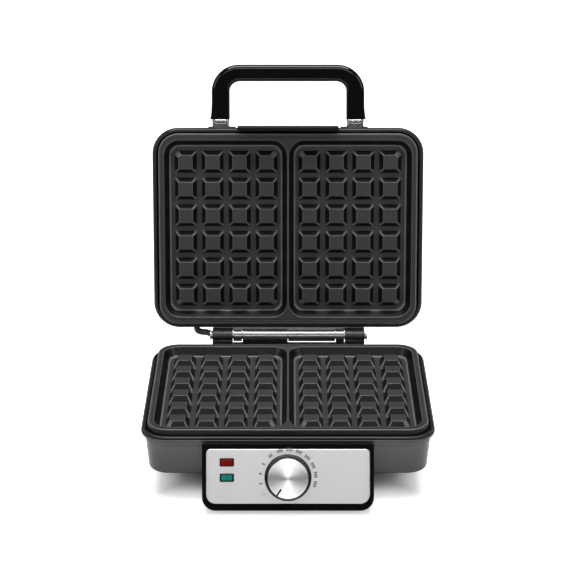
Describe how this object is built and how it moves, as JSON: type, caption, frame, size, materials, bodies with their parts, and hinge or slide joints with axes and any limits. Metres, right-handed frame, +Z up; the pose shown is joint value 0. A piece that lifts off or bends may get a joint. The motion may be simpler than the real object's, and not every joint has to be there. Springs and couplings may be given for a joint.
{
  "type": "waffle maker",
  "caption": "Hinged electric waffle maker, open: base and lid with ribbed non-stick plates, carrying handle, latch, and a front panel with a dial and pilot lamps.",
  "frame": {"origin": "on the table, under the middle of the whole open machine", "axes": "+X to the user's right along the hinge, +Y to the back, +Z up; the user faces +Y"},
  "size_m": [0.2518, 0.306, 0.3119],
  "materials": {
    "satin_casing": "satin metallic dark grey, moulded",
    "nonstick": "matte black non-stick coating on cast aluminium",
    "matte_black": "fine moulded",
    "gloss_black": "gloss",
    "knob_black": "satin",
    "rubber": "matt",
    "brushed_fascia": "brushed along X",
    "spun_aluminium": "spun face",
    "satin_steel": "satin",
    "zinc_plate": "zinc plated",
    "zinc_screw": "zinc plated",
    "chrome": "polished",
    "red_lens": "translucent red",
    "green_lens": "translucent green",
    "lamp_glass": "clear",
    "ceramic_white": "moulded",
    "element_steel": "heat tinted",
    "reflector_sheet": "aluminised sheet",
    "lead_sheath": "dark grey silicone sheath"
  },
  "bodies": {
    "base": {"base_bottom": "matte_black", "base_casing": "satin_casing", "base_hinge_block_left": "matte_black", "base_hinge_block_right": "matte_black", "base_hinge_leaf": "satin_steel", "base_hinge_screws": "zinc_screw", "base_lead_grommet": "rubber", "bottom_screws": "zinc_screw", "cord_gland": "matte_black", "foot_pads": "rubber", "front_feet": "matte_black", "green_lamp_lens": "green_lens", "hinge_pin": "satin_steel", "hinge_pin_clips": "zinc_plate", "lamp_holder": "matte_black", "lid_lead": "lead_sheath", "lower_element": "element_steel", "lower_element_clamps": "zinc_plate", "lower_plate": "nonstick", "lower_plate_screws": "zinc_screw", "lower_reflector": "reflector_sheet", "neon_lamps": "lamp_glass", "panel_fascia": "brushed_fascia", "panel_housing": "gloss_black", "rear_feet": "matte_black", "red_lamp_lens": "red_lens", "terminal_block": "ceramic_white", "thermal_fuse": "zinc_plate", "thermostat": "ceramic_white", "thermostat_bracket": "zinc_plate"},
    "lid": {"handle": "gloss_black", "handle_collar_left": "chrome", "handle_collar_right": "chrome", "handle_mount_left": "gloss_black", "handle_mount_right": "gloss_black", "latch_pins": "zinc_plate", "lid_casing": "satin_casing", "lid_hinge_block_left": "matte_black", "lid_hinge_block_right": "matte_black", "lid_hinge_leaf": "satin_steel", "lid_hinge_screws": "zinc_screw", "lid_lead_grommet": "rubber", "upper_element": "element_steel", "upper_element_clamps": "zinc_plate", "upper_plate": "nonstick", "upper_plate_screws": "zinc_screw", "upper_reflector": "reflector_sheet"},
    "latch": {"latch_clip": "gloss_black"},
    "knob": {"knob_body": "knob_black", "knob_cap": "spun_aluminium", "knob_pointer": "gloss_black", "thermostat_shaft": "zinc_plate"}
  },
  "joints": [
    {"name": "lid_hinge", "type": "hinge", "parent": "base", "child": "lid", "pos_m": [0, 0.07604, 0.06825], "axis": [1, 0, 0], "range_deg": [0, 103], "deforming": ["lid_lead"]},
    {"name": "latch_flip", "type": "hinge", "parent": "lid", "child": "latch", "pos_m": [0, 0.13052, 0.25421], "axis": [-1, 0, 0], "range_deg": [0, 3], "stiffness_Nm_per_rad": 0.3, "springref_deg": -5.73},
    {"name": "knob_turn", "type": "hinge", "parent": "base", "child": "knob", "pos_m": [0, -0.13468, 0.03072], "axis": [0, 0.9272, -0.3746], "range_deg": [0, 250]}
  ]
}
